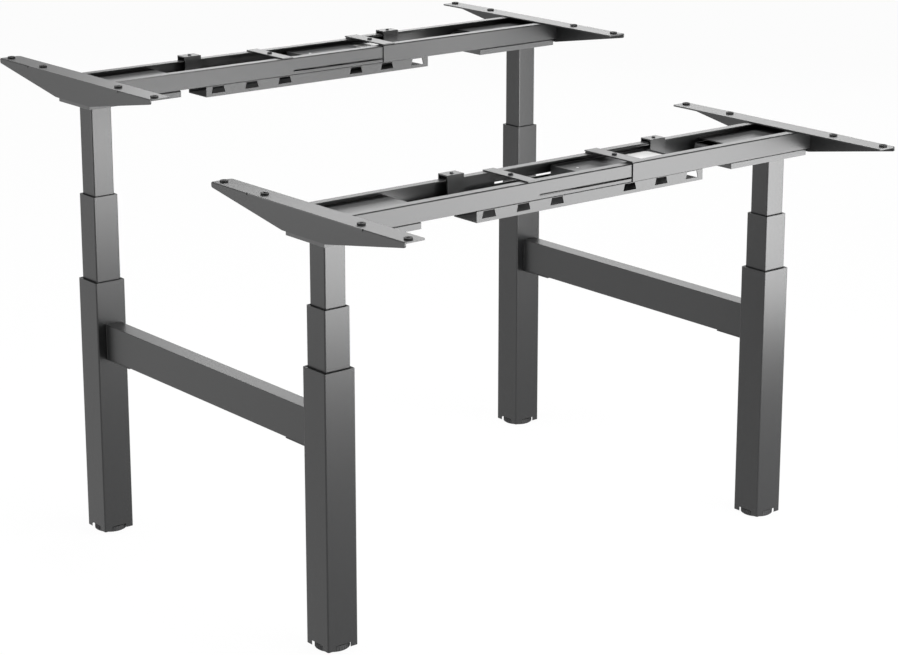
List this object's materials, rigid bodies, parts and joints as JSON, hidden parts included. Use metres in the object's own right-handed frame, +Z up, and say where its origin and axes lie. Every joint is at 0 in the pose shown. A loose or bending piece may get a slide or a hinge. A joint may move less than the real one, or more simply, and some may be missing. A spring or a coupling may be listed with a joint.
{
  "type": "standing desk frame",
  "caption": "Back-to-back height-adjustable desk frame: square telescopic columns, crossbars, telescopic beams, tapered side brackets and cable trays.",
  "frame": {"origin": "on the floor at the centre of the four columns", "axes": "+X along the beams to the right seen from the front desk, +Y from the front desk to the back desk, +Z up"},
  "size_m": [1.26, 1.41, 0.9956],
  "materials": {
    "column_paint": "semi-gloss dark grey powder coat",
    "frame_paint": "semi-gloss dark grey powder coat",
    "screw_steel": "greased steel",
    "glide_plastic": "matt black",
    "foot_plastic": "matt black",
    "motor_case": "zinc plated",
    "pad_rubber": "matt black",
    "box_plastic": "fine-textured black"
  },
  "bodies": {
    "left_base": {"front_left_outer_tube": "column_paint", "back_left_outer_tube": "column_paint", "left_crossbar": "frame_paint", "left_base_screws": "screw_steel", "left_mouth_glides": "glide_plastic"},
    "right_base": {"front_right_outer_tube": "column_paint", "back_right_outer_tube": "column_paint", "right_crossbar": "frame_paint", "right_base_screws": "screw_steel", "right_mouth_glides": "glide_plastic"},
    "front_left_foot": {"front_left_foot": "foot_plastic"},
    "front_left_mid": {"front_left_mid_tube": "column_paint", "front_left_mid_glides": "glide_plastic"},
    "front_left_spindle": {"front_left_spindle": "screw_steel"},
    "front_left_shaft": {"front_left_drive_shaft": "screw_steel"},
    "front_left_head": {"front_left_inner_tube": "column_paint", "front_left_motor": "motor_case", "front_left_housing": "frame_paint", "front_left_rails": "frame_paint", "front_left_bracket": "frame_paint", "front_left_pads": "pad_rubber", "front_cable_tray": "frame_paint", "front_control_box": "box_plastic"},
    "front_right_foot": {"front_right_foot": "foot_plastic"},
    "front_right_mid": {"front_right_mid_tube": "column_paint", "front_right_mid_glides": "glide_plastic"},
    "front_right_spindle": {"front_right_spindle": "screw_steel"},
    "front_right_shaft": {"front_right_drive_shaft": "screw_steel"},
    "front_right_head": {"front_right_inner_tube": "column_paint", "front_right_motor": "motor_case", "front_right_housing": "frame_paint", "front_right_rails": "frame_paint", "front_right_bracket": "frame_paint", "front_right_pads": "pad_rubber"},
    "back_left_foot": {"back_left_foot": "foot_plastic"},
    "back_left_mid": {"back_left_mid_tube": "column_paint", "back_left_mid_glides": "glide_plastic"},
    "back_left_spindle": {"back_left_spindle": "screw_steel"},
    "back_left_shaft": {"back_left_drive_shaft": "screw_steel"},
    "back_left_head": {"back_left_inner_tube": "column_paint", "back_left_motor": "motor_case", "back_left_housing": "frame_paint", "back_left_rails": "frame_paint", "back_left_bracket": "frame_paint", "back_left_pads": "pad_rubber", "back_cable_tray": "frame_paint", "back_control_box": "box_plastic"},
    "back_right_foot": {"back_right_foot": "foot_plastic"},
    "back_right_mid": {"back_right_mid_tube": "column_paint", "back_right_mid_glides": "glide_plastic"},
    "back_right_spindle": {"back_right_spindle": "screw_steel"},
    "back_right_shaft": {"back_right_drive_shaft": "screw_steel"},
    "back_right_head": {"back_right_inner_tube": "column_paint", "back_right_motor": "motor_case", "back_right_housing": "frame_paint", "back_right_rails": "frame_paint", "back_right_bracket": "frame_paint", "back_right_pads": "pad_rubber"}
  },
  "joints": [
    {"name": "width_adjust", "type": "slide", "parent": "left_base", "child": "right_base", "axis": [1, 0, 0], "range_m": [-0.07, 0.05]},
    {"name": "front_lift", "type": "slide", "parent": "left_base", "child": "front_left_head", "axis": [0, 0, 1], "range_m": [-0.222, 0.428]},
    {"name": "front_left_mid_slide", "type": "slide", "parent": "left_base", "child": "front_left_mid", "axis": [0, 0, 1], "range_m": [-0.111, 0.214]},
    {"name": "front_left_spindle_turn", "type": "hinge", "parent": "front_left_mid", "child": "front_left_spindle", "pos_m": [-0.577, -0.405, 0.45], "axis": [0, 0, 1], "range_deg": [-5005, 9640]},
    {"name": "front_left_shaft_turn", "type": "hinge", "parent": "front_left_head", "child": "front_left_shaft", "pos_m": [-0.577, -0.405, 0.45], "axis": [0, 0, 1], "range_deg": [-5005, 9640]},
    {"name": "front_left_foot_screw", "type": "slide", "parent": "left_base", "child": "front_left_foot", "axis": [0, 0, -1], "range_m": [-0.002, 0.01]},
    {"name": "front_right_lift", "type": "slide", "parent": "right_base", "child": "front_right_head", "axis": [0, 0, 1], "range_m": [-0.222, 0.428]},
    {"name": "front_right_mid_slide", "type": "slide", "parent": "right_base", "child": "front_right_mid", "axis": [0, 0, 1], "range_m": [-0.111, 0.214]},
    {"name": "front_right_spindle_turn", "type": "hinge", "parent": "front_right_mid", "child": "front_right_spindle", "pos_m": [0.577, -0.405, 0.45], "axis": [0, 0, 1], "range_deg": [-5005, 9640]},
    {"name": "front_right_shaft_turn", "type": "hinge", "parent": "front_right_head", "child": "front_right_shaft", "pos_m": [0.577, -0.405, 0.45], "axis": [0, 0, 1], "range_deg": [-5005, 9640]},
    {"name": "front_right_foot_screw", "type": "slide", "parent": "right_base", "child": "front_right_foot", "axis": [0, 0, -1], "range_m": [-0.002, 0.01]},
    {"name": "back_lift", "type": "slide", "parent": "left_base", "child": "back_left_head", "axis": [0, 0, 1], "range_m": [-0.349, 0.301]},
    {"name": "back_left_mid_slide", "type": "slide", "parent": "left_base", "child": "back_left_mid", "axis": [0, 0, 1], "range_m": [-0.1745, 0.1505]},
    {"name": "back_left_spindle_turn", "type": "hinge", "parent": "back_left_mid", "child": "back_left_spindle", "pos_m": [-0.577, 0.405, 0.45], "axis": [0, 0, 1], "range_deg": [-7863, 6783]},
    {"name": "back_left_shaft_turn", "type": "hinge", "parent": "back_left_head", "child": "back_left_shaft", "pos_m": [-0.577, 0.405, 0.45], "axis": [0, 0, 1], "range_deg": [-7863, 6783]},
    {"name": "back_left_foot_screw", "type": "slide", "parent": "left_base", "child": "back_left_foot", "axis": [0, 0, -1], "range_m": [-0.002, 0.01]},
    {"name": "back_right_lift", "type": "slide", "parent": "right_base", "child": "back_right_head", "axis": [0, 0, 1], "range_m": [-0.349, 0.301]},
    {"name": "back_right_mid_slide", "type": "slide", "parent": "right_base", "child": "back_right_mid", "axis": [0, 0, 1], "range_m": [-0.1745, 0.1505]},
    {"name": "back_right_spindle_turn", "type": "hinge", "parent": "back_right_mid", "child": "back_right_spindle", "pos_m": [0.577, 0.405, 0.45], "axis": [0, 0, 1], "range_deg": [-7863, 6783]},
    {"name": "back_right_shaft_turn", "type": "hinge", "parent": "back_right_head", "child": "back_right_shaft", "pos_m": [0.577, 0.405, 0.45], "axis": [0, 0, 1], "range_deg": [-7863, 6783]},
    {"name": "back_right_foot_screw", "type": "slide", "parent": "right_base", "child": "back_right_foot", "axis": [0, 0, -1], "range_m": [-0.002, 0.01]}
  ],
  "couplings": [
    {"joint": "front_left_mid_slide", "follows": "front_lift", "ratio": 0.5},
    {"joint": "front_left_spindle_turn", "follows": "front_lift", "rad_per_m": 392.7},
    {"joint": "front_left_shaft_turn", "follows": "front_lift", "rad_per_m": 392.7},
    {"joint": "front_right_lift", "follows": "front_lift", "ratio": 1},
    {"joint": "front_right_mid_slide", "follows": "front_lift", "ratio": 0.5},
    {"joint": "front_right_spindle_turn", "follows": "front_lift", "rad_per_m": 392.7},
    {"joint": "front_right_shaft_turn", "follows": "front_lift", "rad_per_m": 392.7},
    {"joint": "back_left_mid_slide", "follows": "back_lift", "ratio": 0.5},
    {"joint": "back_left_spindle_turn", "follows": "back_lift", "rad_per_m": 392.7},
    {"joint": "back_left_shaft_turn", "follows": "back_lift", "rad_per_m": 392.7},
    {"joint": "back_right_lift", "follows": "back_lift", "ratio": 1},
    {"joint": "back_right_mid_slide", "follows": "back_lift", "ratio": 0.5},
    {"joint": "back_right_spindle_turn", "follows": "back_lift", "rad_per_m": 392.7},
    {"joint": "back_right_shaft_turn", "follows": "back_lift", "rad_per_m": 392.7}
  ]
}
